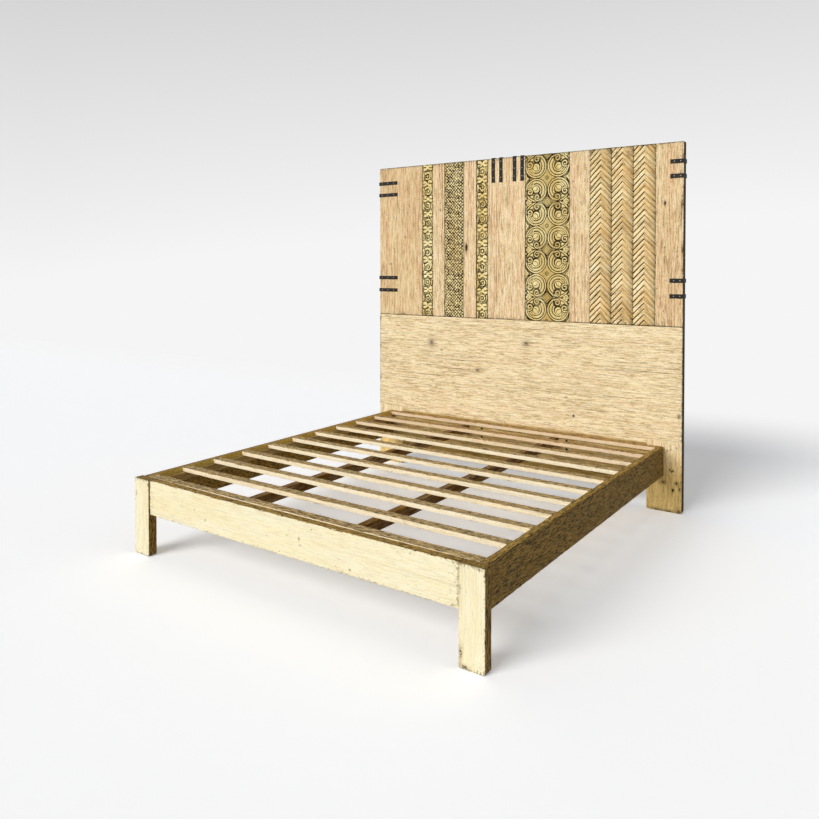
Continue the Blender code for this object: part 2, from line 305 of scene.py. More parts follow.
def coat(material, colour, roughness, height, strength, deep, settings):
    """Joins a finish's colour, roughness and relief to its shader and fills the shader's other settings."""
    tree = material.node_tree
    shader = tree.nodes["Principled BSDF"].inputs
    bump = wire(tree, "ShaderNodeBump", {"Strength": strength, "Distance": deep, "Height": height})[0]
    for label, flow in (("Base Color", colour), ("Roughness", roughness), ("Normal", bump)):
        tree.links.new(flow.socket, shader[label])
    for label, value in settings.items():
        shader[label].default_value = value
    return material


def wood(
    name, pale, warm, dark, lines=0.3, pores=0.5, flecks=0.5, stains=0.3, holes=0.0, coarse=1.0, sides=None,
    tops=None, grime_and_shade=None, marks=(), soil=(0.6, 0.6), foot=None, foot_span=(0.37, 0.06), rubbed=0.0, toned=None,
    ends=0.0, crown=None
):
    """A timber finish. `sides` is painted shade on the faces away from the front, `tops` painted shade on those that
    look up and `crown` a strip of painted light along the top of a rail's inner face. `grime_and_shade` darkens the
    hollows of carving, partly as soiling and partly as painted shade, `soil` is how soiled the arrises and ends are,
    `foot` painted shade towards the floor, reached over `foot_span`, `rubbed` how far the arrises are worn pale,
    `toned` the colour of parts that are toned darker and `ends` how strong the dark line along the ends is."""
    material, tree = new_material(name)

    def stored(label, kind="Fac"):
        return wire(tree, "ShaderNodeAttribute", attribute_name=label, attribute_type="GEOMETRY")[kind]

    grain, spot = stored("grain", "Vector"), stored("spot", "Vector")
    place = wire(tree, "ShaderNodeTexCoord")["Object"]
    up = split(place)[2]
    timber = {
        "Grain": grain, "Pale": srgb(*pale), "Warm": srgb(*warm), "Dark": srgb(*dark), "Lines": lines,
        "Pores": pores, "Flecks": flecks, "Stains": stains, "Holes": holes, "Coarse": coarse,
    }
    body = wire(tree, "ShaderNodeGroup", timber, node_tree=WEATHERED_WOOD)
    colour, height = body["Color"], body["Height"]
    colour = blend(stored("tone") * TONE_SHARE, colour, tint(toned or warm, pale), "MULTIPLY")
    # Painted shade towards the floor, on front faces only
    if foot:
        front = worked("SUBTRACT", 1.0, stored("away") * FRONT_ONLY, use_clamp=True)
        colour = blend(ramp(up, *foot_span) * front, colour, tint(foot, pale), "MULTIPLY")
    # Painted shade: faces away from the front take the sides colour and faces that look up the tops colour, darker as
    # if out of the light
    if sides:
        away, flank, streaks = stored("away"), tint(sides, pale), SAW_STREAKS
        # A strip of painted light along the top of the rail's inner face
        if crown:
            strip = ramp(up, *CROWN_SPAN) * ramp(split(spot)[2], -0.005, 0.005)
            flank = blend(strip, flank, tint(crown, pale))
            streaks = ramp(strip, 0.0, 1.0, SAW_STREAKS, CROWN_STREAKS)
        turned = blend(stored("lid"), flank, tint(tops or sides, pale))
        colour = blend(away, colour, turned, "MULTIPLY")
        sawn = ramp(noise(grain, 34.0, 320.0, 3.0, 0.8), 0.44, 0.56)
        colour = blend(away * sawn * streaks, colour, shaded(sides, 0.20))
    rim = wire(tree, "ShaderNodeGroup", {"Spot": spot, "Half": stored("half", "Vector")}, node_tree=PLANK_RIM)
    if rubbed:
        bare = ramp(rim["Rim"], 0.0065, 0.0015, 0.0, rubbed) * ramp(noise(grain, 9.0, 60.0), 0.36, 0.56)
        colour = blend(bare, colour, BARE_TIMBER)
    crumbs = noise(grain, 70.0, 150.0, 4.0, 0.7)
    along, end = soil
    near = ramp(rim["Rim"], 0.014, 0.0, 0.0, 0.23 * along) + ramp(rim["End"], 0.05, 0.0, 0.0, 0.17 * end)
    darkening = ramp(crumbs + near, 0.62, 0.74, 0.0, 0.6)
    colour = blend(darkening, colour, shaded(dark, 0.55))
    if ends:
        ragged = ramp(noise(place, 45.0, 45.0, 3.0, 0.6), 0.38, 0.58, 0.35, 1.0)
        line = ramp(rim["End"], 0.0060, 0.0025, 0.0, ends) * ragged
        colour = blend(line, colour, shaded(dark, 0.45))
    # Painted shade with soiling in the hollows of carving
    if grime_and_shade:
        shade_and_soil = ramp(noise(grain, 16.0, 30.0), 0.35, 0.6, 0.7, 1.15)
        shade_and_soil = worked("MULTIPLY", stored("hollow"), shade_and_soil, use_clamp=True)
        colour = blend(shade_and_soil, colour, srgb(*grime_and_shade))
    for centre, reach, solid in marks:
        inputs = {"Place": place, "Centre": centre, "Reach": reach, "Solid": solid}
        mark = wire(tree, "ShaderNodeGroup", inputs, node_tree=TIMBER_MARK)
        colour = blend(mark["Stain"] * 0.35, colour, srgb(*dark))
        colour = blend(mark["Mark"], colour, KNOT)
        height = height - mark["Mark"] * 1.5
    return coat(material, colour, body["Roughness"], height, 0.5, 0.0015, {"Specular IOR Level": 0.08})


def blackened_iron():
    """Hand-worked iron: black scale with a little rust and uneven polish."""
    material, tree = new_material("blackened_iron")
    place = wire(tree, "ShaderNodeTexCoord")["Object"]
    mottle = noise(place, 60.0, 60.0, 4.0)
    rust = ramp(noise(place, 25.0, 25.0, 5.0, 0.7), 0.56, 0.72)
    colour = blend(ramp(mottle, 0.35, 0.7), srgb(16, 14, 13), srgb(34, 30, 27))
    colour = blend(rust * 0.3, colour, srgb(70, 46, 30))
    settings = {"Metallic": 0.3, "Specular IOR Level": 0.3}
    return coat(material, colour, ramp(mottle, 0.3, 0.7, 0.5, 0.8), mottle, 0.4, 0.001, settings)


def rubbed_nail():
    """Nail heads, rubbed paler than the straps they hold."""
    material, tree = new_material("rubbed_nail")
    mottle = noise(wire(tree, "ShaderNodeTexCoord")["Object"], 300.0, 300.0)
    colour = blend(ramp(mottle, 0.3, 0.7), srgb(96, 88, 78), srgb(176, 166, 150))
    return coat(material, colour, ramp(mottle, 0.3, 0.7, 0.35, 0.65), mottle, 0.3, 0.0005, {"Metallic": 0.5})


def marks_on(y, *rows):
    """Marks on a face at the depth `y`: each row has a place across and up, a reach across and up and, if it
    isn't the usual one, how solid the mark's middle is."""
    return [((x, y, z), (wide, 0.02, tall), *(solid or [USUAL_SOLID])) for x, z, wide, tall, *solid in rows]


PANEL_MARKS = marks_on(
    HEAD_Y,
    (-0.634, 0.886, 0.030, 0.034), (-0.550, 0.836, 0.012, 0.007), (0.099, 0.918, 0.030, 0.022),
    (-0.260, 0.720, 0.030, 0.016), (0.428, 0.489, 0.009, 0.010, 0.5), (-0.598, 0.575, 0.007, 0.006),
    (0.377, 0.600, 0.012, 0.006), (1.071, 0.560, 0.010, 0.016), (-1.086, 1.035, 0.010, 0.024),
    (-1.086, 0.840, 0.009, 0.020), (-1.086, 0.606, 0.009, 0.020),
)
BOARD_MARKS = marks_on(
    HEAD_Y,
    (-0.350, 1.540, 0.013, 0.034, 0.6), (0.985, 1.776, 0.010, 0.018, 0.45), (1.082, 1.765, 0.012, 0.050),
    (1.087, 1.510, 0.008, 0.050), (1.087, 1.390, 0.008, 0.030), (1.086, 2.030, 0.008, 0.030),
    (-0.873, 1.073, 0.022, 0.008), (-0.860, 1.620, 0.010, 0.006), (-0.990, 1.430, 0.012, 0.008),
    (-0.560, 1.800, 0.008, 0.010),
)
# The broad mark just under the side rail's end, at 0.985 across and 0.169 up, is partly soiling and partly a painted
# shadow
POST_MARKS = marks_on(
    HEAD_Y,
    (1.024, 0.245, 0.006, 0.008, 0.4), (1.032, 0.236, 0.006, 0.007, 0.45), (1.041, 0.241, 0.007, 0.008, 0.4),
    (1.041, 0.130, 0.010, 0.013, 0.55), (1.061, 0.172, 0.014, 0.016, 0.3), (0.985, 0.169, 0.020, 0.014, 0.25),
    (1.079, 0.140, 0.008, 0.016, 0.3), (1.028, 0.362, 0.005, 0.006), (1.059, 0.375, 0.005, 0.006),
    (1.009, 0.353, 0.005, 0.006), (0.945, 0.004, 0.040, 0.012), (1.020, 0.004, 0.040, 0.012),
    (1.075, 0.010, 0.020, 0.020),
)
FRAME_MARKS = marks_on(
    FOOT_Y + 0.004,
    (0.111, 0.295, 0.006, 0.008), (0.117, 0.268, 0.007, 0.004), (0.386, 0.229, 0.006, 0.005),
    (-0.478, 0.259, 0.005, 0.006), (0.975, 0.366, 0.012, 0.004), (0.897, 0.285, 0.004, 0.012),
    (0.900, 0.055, 0.009, 0.032), (0.915, 0.008, 0.022, 0.010), (-0.985, 0.300, 0.004, 0.014),
)
# Pale, warm and dark colour, how strong growth lines, pores, flecks, stains and holes are, how coarse the grain is
FRAME_TIMBER = ((246, 239, 208), (245, 232, 190), (158, 126, 72), 0.08, 0.30, 0.24, 0.05, 0.5, 1.2)
PANEL_TIMBER = ((248, 227, 180), (239, 211, 164), (104, 78, 42), 0.3, 1.0, 0.95, 0.10, 0.0)
# Painted shade, dark, for the headboard's edges and backs
BOARD_SIDES = (80, 58, 34)
# The sides and tops colours below are painted shade on the faces away from the front and on the faces that look up
FINISH = {
    "frame_wood": wood(
        "bleached_frame", *FRAME_TIMBER, sides=(197, 160, 87), tops=(212, 174, 95), marks=FRAME_MARKS, ends=0.3
    ),
    # The left rail carries a strip of painted light along the top of its inner face
    "left_rail_wood": wood(
        "lit_rail", *FRAME_TIMBER, sides=(197, 160, 80), tops=(190, 156, 86), ends=0.3, crown=(244, 214, 118)
    ),
    # Ledgers and head rail darkened as painted shade, the shade they stand in under the slats
    "rail_wood": wood(
        "shaded_rail", (197, 165, 94), (172, 137, 72), (78, 54, 22), 0.3, 0.6, 0.5, 0.4, 0.0, 1.1
    ),
    # The post's dark sides and golden foot are painted shade, the foot standing for the side rail's shadow
    "post_wood": wood(
        "golden_post", (248, 227, 180), (239, 211, 164), (84, 56, 20), 0.2, 0.85, 0.8, 0.10, 1.0, 1.2,
        sides=(92, 72, 40), foot=(248, 215, 138), foot_span=(0.38, 0.20), soil=(0.2, 0.0), marks=POST_MARKS
    ),
    # The slats' tops and edges take painted shade through their sides colour
    "slat_wood": wood(
        "sawn_slat", (252, 242, 214), (249, 232, 196), (150, 112, 64), 0.12, 0.4, 0.3, 0.06,
        sides=(243, 214, 155), soil=(0.2, 0.3), toned=(214, 174, 130)
    ),
    # Support beams darkened as painted shade, the shade under the slats
    "support_wood": wood("dark_support", (144, 102, 22), (106, 69, 10), (30, 17, 1), 0.3, 0.5, 0.4, 0.4),
    "panel_wood": wood(
        "brushed_panel", *PANEL_TIMBER, 0.95,
        sides=(84, 62, 36), marks=PANEL_MARKS, rubbed=0.3, soil=(0.0, 0.6), ends=0.7
    ),
    # A band of painted shade just above the last slat, where the bottom rail shows behind it
    "bottom_rail_wood": wood(
        "shaded_bottom_rail", *PANEL_TIMBER, 1.2, foot=(175, 145, 80), foot_span=(0.393, 0.379), soil=(0.0, 0.0)
    ),
    "board_wood": wood(
        "weathered_board", (245, 221, 173), (238, 199, 153), (104, 72, 40), 0.25, 1.0, 1.0, 0.12, 0.5, 1.2,
        sides=BOARD_SIDES, marks=BOARD_MARKS, rubbed=0.75, toned=(204, 170, 106), ends=0.9
    ),
    "carved_wood": wood(
        "carved_board", (255, 241, 182), (236, 206, 128), (104, 78, 32), 0.1, 0.4, 0.35, 0.1, 0.0, 1.1,
        grime_and_shade=(46, 32, 6), sides=BOARD_SIDES, toned=(178, 150, 70), ends=0.9
    ),
    "lattice_wood": wood(
        "darkened_lattice", (255, 240, 186), (240, 210, 140), (80, 60, 26), 0.1, 0.4, 0.35, 0.15, 0.0, 1.1,
        grime_and_shade=(40, 28, 8), sides=BOARD_SIDES, toned=(170, 140, 78), ends=0.9
    ),
    "chevron_wood": wood(
        "grooved_board", (255, 233, 176), (242, 205, 138), (96, 60, 22), 0.2, 1.0, 1.0, 0.24, 0.0, 1.3,
        grime_and_shade=(20, 11, 2), sides=BOARD_SIDES, toned=(228, 184, 106), ends=0.9
    ),
    "iron": blackened_iron(),
}


def put(name, data):
    """A new object in the scene."""
    obj = bpy.data.objects.new(name, data)
    bpy.context.scene.collection.objects.link(obj)
    return obj


def drawn(name, points, faces=(), **layers):
    """A mesh of points and faces, with a number on each point for every named layer."""
    mesh = bpy.data.meshes.new(name)
    mesh.from_pydata(points, [], faces)
    for label, values in layers.items():
        mesh.attributes.new(label, "FLOAT", "POINT").data.foreach_set("value", values)
    return mesh


def grown(name, tree, values, start=None):
    """A plain mesh grown by a Geometry Nodes tree with the given named inputs."""
    obj = put(name, start or bpy.data.meshes.new(name))
    step = obj.modifiers.new("grow", "NODES")
    step.node_group = tree
    for item in tree.interface.items_tree:
        if item.item_type == "SOCKET" and item.in_out == "INPUT" and item.name in values:
            step[item.identifier] = values[item.name]
    graph = bpy.context.evaluated_depsgraph_get()
    mesh = bpy.data.meshes.new_from_object(obj.evaluated_get(graph), depsgraph=graph)
    obj.modifiers.clear()
    obj.data = mesh
    mesh.name = name
    return obj


def named(geometry, kind, label, value, domain="POINT"):
    """Stores a value on each point or face under a name that the finishes read."""
    inputs = {"Geometry": geometry, "Name": label, "Value": value}
    return wire(geometry.tree, "GeometryNodeStoreNamedAttribute", inputs, data_type=kind, domain=domain)[0]


def with_finish(geometry, finish):
    return wire(geometry.tree, "GeometryNodeSetMaterial", {"Geometry": geometry, "Material": finish})[0]


def worn_plank():
    """A sawn plank along X with eased, chipped arrises; its low X end can be rounded as a foot."""
    inputs = (
        ("Length", NUMBER, 1.0), ("Width", NUMBER, 0.1), ("Thickness", NUMBER, 0.02), ("Rings", WHOLE, 40),
        ("Arris", NUMBER, 0.003), ("Chips", NUMBER, 0.002), ("Foot", NUMBER, 0.0), ("Sag", NUMBER, 0.0),
        ("Front", VECTOR, None), ("Up", VECTOR, None), ("Seed", NUMBER, 0.0), ("Grain start", VECTOR, None),
        ("Tone", NUMBER, 0.0), ("Finish", MATERIAL, None),
    )
    tree, given, give = group_tree("worn_plank", "GeometryNodeTree", inputs, (("Geometry", GEOMETRY),))
    sides = [given[label] for label in ("Length", "Width", "Thickness")]
    rings, arris, foot = given["Rings"], given["Arris"], given["Foot"]
    size = combined(*sides)
    cube_inputs = {"Size": size, "Vertices X": rings, "Vertices Y": 4, "Vertices Z": 4}
    cube = wire(tree, "GeometryNodeMeshCube", cube_inputs)[0]
    half = size * (0.5, 0.5, 0.5)
    place = wire(tree, "GeometryNodeInputPosition")[0]
    parts = split(place / half)
    signs = [worked("SIGN", part) for part in parts]
    on_face = [abs(part) > 0.999 for part in parts]
    faces = on_face[0] + on_face[1] + on_face[2]
    ease = (1.0 - worked("INVERSE_SQRT", most(faces, 1.0))) * arris

    speck = {"Vector": place * (22.0, 22.0, 22.0), "W": given["Seed"], "Scale": 1.0, "Detail": 4.0, "Roughness": 0.65}
    chip = wire(tree, "ShaderNodeTexNoise", speck, noise_dimensions="4D")[0]
    sink = ease + ramp(chip, 0.50, 0.74) * given["Chips"] * (faces > 1.5)

    halves = [side * 0.5 for side in sides]
    inner = [far - arris for far in halves]
    inner[0] = abs(parts[0]) * ((rings - 1.0) / (rings - 3.0)) * inner[0]
    reach = [
        wire(tree, "ShaderNodeMix", {0: outside, 2: within, 3: far - sink}, data_type="FLOAT")[0]
        for outside, within, far in zip(on_face, inner, halves)
    ]
    short = most(foot - (signs[0] * reach[0] + halves[0]), 0.0)
    drop = foot - worked("SQRT", most(foot ** 2.0 - short ** 2.0, 0.0))
    bow = (1.0 - abs(parts[0]) ** 2.0) * given["Sag"] * (parts[1] > 0.0)
    reach[1] = reach[1] - drop - bow
    shaped = combined(*(sign * far for sign, far in zip(signs, reach)))
    body = wire(tree, "GeometryNodeSetPosition", {"Geometry": cube, "Position": shaped})[0]

    normal = wire(tree, "GeometryNodeInputNormal")[0]
    front, up = (
        wire(tree, "ShaderNodeVectorMath", {0: normal, 1: given[side]}, operation="DOT_PRODUCT")["Value"]
        for side in ("Front", "Up")
    )
    # Faces away from the front, and faces that look up, are marked for painted shade
    away = (front < 0.8) - (front < -0.8) * (1.0 - BACK_AWAY)
    body = named(body, "FLOAT_VECTOR", "grain", place + given["Grain start"])
    body = named(body, "FLOAT", "tone", given["Tone"])
    body = named(body, "FLOAT", "away", away, "FACE")
    body = named(body, "FLOAT", "lid", up > 0.8, "FACE")
    body = named(body, "FLOAT_VECTOR", "spot", place)
    body = named(body, "FLOAT_VECTOR", "half", half)
    whole = wire(tree, "GeometryNodeRealizeInstances", {0: body})[0]
    return give(Geometry=with_finish(whole, given["Finish"]))


WORN_PLANK = worn_plank()
# How a plank's own length, width and thickness lie along X, Y and Z, by the direction of its grain
LIE = {
    "x": ((0, 2, 1), Matrix(((1, 0, 0), (0, 0, -1), (0, 1, 0)))),
    "y": ((1, 2, 0), Matrix(((0, 0, 1), (1, 0, 0), (0, 1, 0)))),
    "z": ((2, 0, 1), Matrix(((0, 1, 0), (0, 0, 1), (1, 0, 0)))),
}
PICK = random.Random(41)
# Left open where two pieces meet
JOINT_GAP = 0.0003
SLATS = [f"slat_{place + 1:02d}" for place in range(11)]


def plank(
    name, low, high, along, finish, arris=0.003, chips=0.002, foot=0.0, sag=0.0, tone=0.0, spacing=0.012
):
    order, turn = LIE[along]
    size = [high[axis] - low[axis] for axis in range(3)]
    length, width, thickness = (size[axis] for axis in order)
    obj = grown(
        name,
        WORN_PLANK,
        {
            "Length": length,
            "Width": width,
            "Thickness": thickness,
            "Rings": max(8, int(length / spacing)),
            "Arris": min(arris, thickness * 0.2),
            "Chips": min(chips, thickness * 0.15),
            "Foot": foot,
            "Sag": sag,
            "Front": list(turn.transposed() @ Vector((0, -1, 0))),
            "Up": list(turn.transposed() @ Vector((0, 0, 1))),
            "Seed": PICK.uniform(0, 100),
            "Grain start": [PICK.uniform(0, 20) for _ in range(3)],
            "Tone": tone,
            "Finish": FINISH[finish],
        },
    )
    centre = Vector([(low[axis] + high[axis]) / 2 for axis in range(3)])
    obj.data.transform(Matrix.Translation(centre) @ turn.to_4x4())
    return obj


def settle(obj, slot, *nodes):
    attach(obj, "root")
    if nodes:
        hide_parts(*nodes)
    return obj


def joined(name, *objs):
    """Several meshes as one piece."""
    made = bmesh.new()
    for obj in objs:
        made.from_mesh(obj.data)
    mesh = bpy.data.meshes.new(name)
    made.to_mesh(mesh)
    made.free()
    for material in objs[0].data.materials:
        mesh.materials.append(material)
    whole = put(name, mesh)
    for obj in objs:
        bpy.data.objects.remove(obj)
    return whole


def stand_in(node, along, slot, finish=None, box=None, **wear):
    """A worn plank in a solid's place, of the solid's box or of the part of it that shows."""
    low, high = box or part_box(node)
    return settle(plank(f"worn_{node}", low, high, along, finish or slot, **wear), slot, node)


def between(node, axis, low, high):
    """A piece's box from shoulder to shoulder, without the hidden tenons."""
    box = [list(corner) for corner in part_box(node)]
    box[0][axis], box[1][axis] = low, high
    return box


def build_platform():
    for side in ("left", "right"):
        leg, rail, beam = f"front_leg_{side}", f"side_rail_{side}", f"support_beam_{side}"
        stand_in(leg, "z", "frame_wood", foot=0.012, spacing=0.004, chips=0.0015)
        box = between(rail, 1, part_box(leg)[1][1] + JOINT_GAP, HEAD_Y - JOINT_GAP)
        finish = "left_rail_wood" if side == "left" else "frame_wood"
        stand_in(rail, "y", "frame_wood", finish, box, chips=0.003)
        stand_in(f"ledger_{side}", "y", "support_wood", "rail_wood")
        box = between(beam, 1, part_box("foot_rail")[1][1] + JOINT_GAP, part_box("head_rail")[0][1] - JOINT_GAP)
        stand_in(beam, "y", "support_wood", box=box)
    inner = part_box("front_leg_left")[1][0] + JOINT_GAP
    stand_in("foot_rail", "x", "frame_wood", box=between("foot_rail", 0, inner, -inner), sag=0.0035)
    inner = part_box("side_rail_left")[1][0] + JOINT_GAP
    stand_in("head_rail", "x", "frame_wood", "rail_wood", between("head_rail", 0, inner, -inner))
    for place, slat in enumerate(SLATS):
        # The slats by the headboard are darker
        tone = PICK.uniform(0, 0.12) + (0, 0.40, 0.80, 0.80)[max(0, place - 7)]
        stand_in(slat, "x", "slat_wood", tone=tone, arris=0.0025, chips=0.001)


# The boards at both ends are yellower than the others
BOARD_TONES = {"board_01_plain": 0.5, "board_13_plain": 0.4, "board_09_plain": 0.2}


def build_headboard():
    panel_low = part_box("lower_panel")[0][2]
    stile_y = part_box("headboard_top_rail")[0][1]
    for side in ("left", "right"):
        low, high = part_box(f"headboard_post_{side}")
        leg_top = [high[0], high[1], panel_low - JOINT_GAP]
        leg = plank("leg", low, leg_top, "z", "post_wood", foot=0.012, spacing=0.004, arris=0.001, chips=0.001)
        stile = plank("stile", [low[0], stile_y, leg_top[2]], high, "z", "post_wood", tone=0.5)
        settle(joined(f"worn_headboard_post_{side}", leg, stile), "frame_wood", f"headboard_post_{side}")
    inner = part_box("headboard_post_right")[0][0] - JOINT_GAP
    for name, slot, finish in (
        ("bottom", "frame_wood", "bottom_rail_wood"),
        ("middle", "board_wood", "post_wood"),
        ("top", "board_wood", "post_wood"),
    ):
        node = f"headboard_{name}_rail"
        stand_in(node, "x", slot, finish, between(node, 0, -inner, inner), arris=0.0007, chips=0.0)
    stand_in("lower_panel", "x", "panel_wood", arris=0.0008, chips=0.0006)
    for node in sorted(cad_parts):
        if node.startswith("board_") and node.endswith("plain"):
            tone = BOARD_TONES.get(node, 0.1) + PICK.uniform(0, 0.1)
            stand_in(node, "z", "board_wood", chips=0.003, tone=tone)


def arc(centre, start_radius, end_radius, start, end, steps=40):
    """A circular or spiral path, angles in degrees from the outer side, counted upwards."""
    turns = np.radians(np.linspace(start, end, steps))
    reach = np.linspace(start_radius, end_radius, steps)
    return np.stack((centre[0] + reach * np.cos(turns), centre[1] + reach * np.sin(turns)), axis=1)


class Relief:
    """A carved tile seen from the front: levels are 0 at the board's face and fall inwards."""

    def __init__(self, width, height, cell, depth):
        columns, rows = round(width / cell), round(height / cell)
        self.cell = cell
        across = np.linspace(-width / 2, width / 2, columns + 1)
        upward = np.linspace(-height / 2, height / 2, rows + 1)
        self.u, self.v = np.meshgrid(across, upward)
        self.depth = depth
        self.level = np.full(self.u.shape, -depth)
        self.tone = np.zeros(self.u.shape)

    def lay(self, level, where):
        self.level = np.where(where, np.maximum(self.level, level), self.level)

    def cut(self, level, where):
        self.level = np.where(where, np.minimum(self.level, level), self.level)

    def cord(self, path, half, rise=1.0, flat=0.0):
        """A rounded cord laid along a path; `half` is its half width, at both ends if a pair."""
        path = np.asarray(path)
        halves = np.linspace(*half, len(path)) if isinstance(half, tuple) else np.full(len(path), half)
        for start, end, wide in zip(path[:-1], path[1:], halves[1:]):
            span = end - start
            reach = ((self.u - start[0]) * span[0] + (self.v - start[1]) * span[1]) / max(span @ span, 1e-12)
            reach = np.clip(reach, 0, 1)
            gap = np.hypot(self.u - start[0] - reach * span[0], self.v - start[1] - reach * span[1])
            fall = np.clip((gap / wide - flat) / (1 - flat), 0, 1)
            self.lay(-self.depth + self.depth * rise * np.sqrt(1 - fall**2), gap < wide)

    def boss(self, centre, radius, rise=1.0, flat=0.0):
        """A domed boss, round or oval; `flat` is the share of it that is level."""
        wide, tall = radius if isinstance(radius, tuple) else (radius, radius)
        gap = np.hypot((self.u - centre[0]) / wide, (self.v - centre[1]) / tall)
        fall = np.clip((gap - flat) / (1 - flat), 0, 1)
        self.lay(-self.depth + self.depth * rise * np.sqrt(1 - fall**2), gap < 1)

    def pit(self, centre, radius, sink=0.8):
        gap = np.hypot(self.u - centre[0], self.v - centre[1])
        self.cut(-self.depth * sink * np.sqrt(np.clip(1 - (gap / radius) ** 2, 0, 1)), gap < radius)

    def creases(self, reach):
        """How far each point lies below the mean level round it, as a share of the depth."""
        size = max(1, round(reach / self.cell))
        wide = np.pad(self.level, size, mode="symmetric")
        span = range(-size, size + 1)
        around = sum(np.roll(wide, (i, j), (0, 1)) for i in span for j in span) / len(span) ** 2
        around = around[size:-size, size:-size]
        return np.clip((around - self.level) / self.depth * 2.2, 0, 1)

    def clear(self, centre, radius):
        """Sinks a round patch, so that a motif laid on it stands free."""
        gap = np.hypot(self.u - centre[0], self.v - centre[1])
        self.level = np.where(gap < radius, -self.depth, self.level)

    def volute(self, centre, radius, start, half, rise=1.0):
        """A small scroll: a cord that curls in on itself."""
        self.clear(centre, radius + half + 0.0018)
        self.cord(arc(centre, radius, radius * 0.27, start, start + 440, 48), (half, half * 0.85), rise)

    def shade(self, amount, where):
        self.tone = np.where(where, amount, self.tone)

    def tile(self, name, ground=0.53):
        """The tile as a mesh; `ground` is how dark soiling and painted shade make its lowest level."""
        rows, columns = self.u.shape
        points = np.stack((self.u, -self.level, self.v), axis=2).reshape(-1, 3)
        at = np.arange(rows * columns).reshape(rows, columns)
        quads = np.stack((at[:-1, :-1], at[:-1, 1:], at[1:, 1:], at[1:, :-1]), axis=2).reshape(-1, 4)
        # Painted shade with soiling: the hollows darken with depth and more in narrow creases, as shade gathers there
        clean, crease_darkening, crease_reach = 0.22, 1.7, 0.007
        darkening = -(ground + clean) * self.level / self.depth - clean
        hollow = np.clip(darkening + crease_darkening * self.creases(crease_reach), 0, 1)
        return drawn(name, points.tolist(), quads.tolist(), hollow=hollow.ravel(), tone=self.tone.ravel())


def carved_field():
    """One carved tile repeated over a board's front, every second one turned over when mirrored."""
    inputs = (
        ("Tile", OBJECT, None), ("Columns", WHOLE, 1), ("Rows", WHOLE, 1), ("Column pitch", NUMBER, 0.1),
        ("Row pitch", NUMBER, 0.1), ("Mirrored", NUMBER, 0.0), ("Slant", NUMBER, 0.0), ("Waver", NUMBER, 0.004),
        ("Wear", NUMBER, 0.0006), ("Grain start", VECTOR, None), ("Finish", MATERIAL, None),
    )
    tree, given, give = group_tree("carved_field", "GeometryNodeTree", inputs, (("Geometry", GEOMETRY),))
    counts = [given["Columns"], given["Rows"]]
    pitches = [given["Column pitch"], given["Row pitch"]]
    index = wire(tree, "GeometryNodeInputIndex")[0]
    column = worked("FLOORED_MODULO", index, counts[0])
    row = worked("FLOOR", (index + 0.5) / counts[0])
    across, up = (
        (place - (count - 1.0) * 0.5) * pitch for place, count, pitch in zip((column, row), counts, pitches)
    )
    places = {"Count": counts[0] * counts[1], "Position": combined(across, 0.0, up)}
    points = wire(tree, "GeometryNodePoints", places)[0]
    turns = [1.0 - worked("FLOORED_MODULO", place + 1.0, 2.0) * 2.0 * given["Mirrored"] for place in (column, row)]
    scale = combined(turns[0], 1.0, turns[1])
    tile = wire(tree, "GeometryNodeObjectInfo", {"Object": given["Tile"], "As Instance": True})["Geometry"]
    laid = wire(tree, "GeometryNodeInstanceOnPoints", {"Points": points, "Instance": tile, "Scale": scale})[0]
    whole = wire(tree, "GeometryNodeRealizeInstances", {0: laid})[0]
    whole = wire(tree, "GeometryNodeMergeByDistance", {"Geometry": whole, "Distance": 0.00005})[0]

    # Rubbed down in patches, and drawn a little unevenly except along the board's edges
    place = wire(tree, "GeometryNodeInputPosition")[0]
    start = place + given["Grain start"]
    rub = wire(tree, "ShaderNodeTexNoise", {"Vector": start, "Scale": 60.0, "Detail": 3.0})[0]
    rub = ramp(rub, 0.35, 0.75) * given["Wear"]
    across, deep, up = split(place)
    halves = [count * pitch * 0.5 for count, pitch in zip(counts, pitches)]
    inside = least(halves[0] - abs(across), halves[1] - abs(up))
    free = ramp(inside, 0.0, 0.012) * given["Waver"]
    stray = wire(tree, "ShaderNodeTexNoise", {"Vector": start, "Scale": 14.0, "Detail": 2.0})[1]
    stray = split(stray - (0.5, 0.5, 0.5))
    moved = combined(free * 2.0 * stray[0], rub, free * 2.0 * stray[2])
    whole = named(whole, "FLOAT_VECTOR", "spot", combined(up, across))
    whole = named(whole, "FLOAT_VECTOR", "half", combined(halves[1], halves[0]))
    # The grain runs up the board, or along the slanting strips on both sides of its middle
    outward = abs(across)
    lean = combined((up - outward) * 0.7071, (up + outward) * 0.7071, deep)
    runs = {0: given["Slant"], 4: combined(up, across, deep), 5: lean}
    run = wire(tree, "ShaderNodeMix", runs, data_type="VECTOR")[1]
    whole = named(whole, "FLOAT_VECTOR", "grain", run + given["Grain start"])
    whole = wire(tree, "GeometryNodeSetPosition", {"Geometry": whole, "Offset": moved})[0]
    return give(Geometry=with_finish(whole, given["Finish"]))


CARVED_FIELD = carved_field()


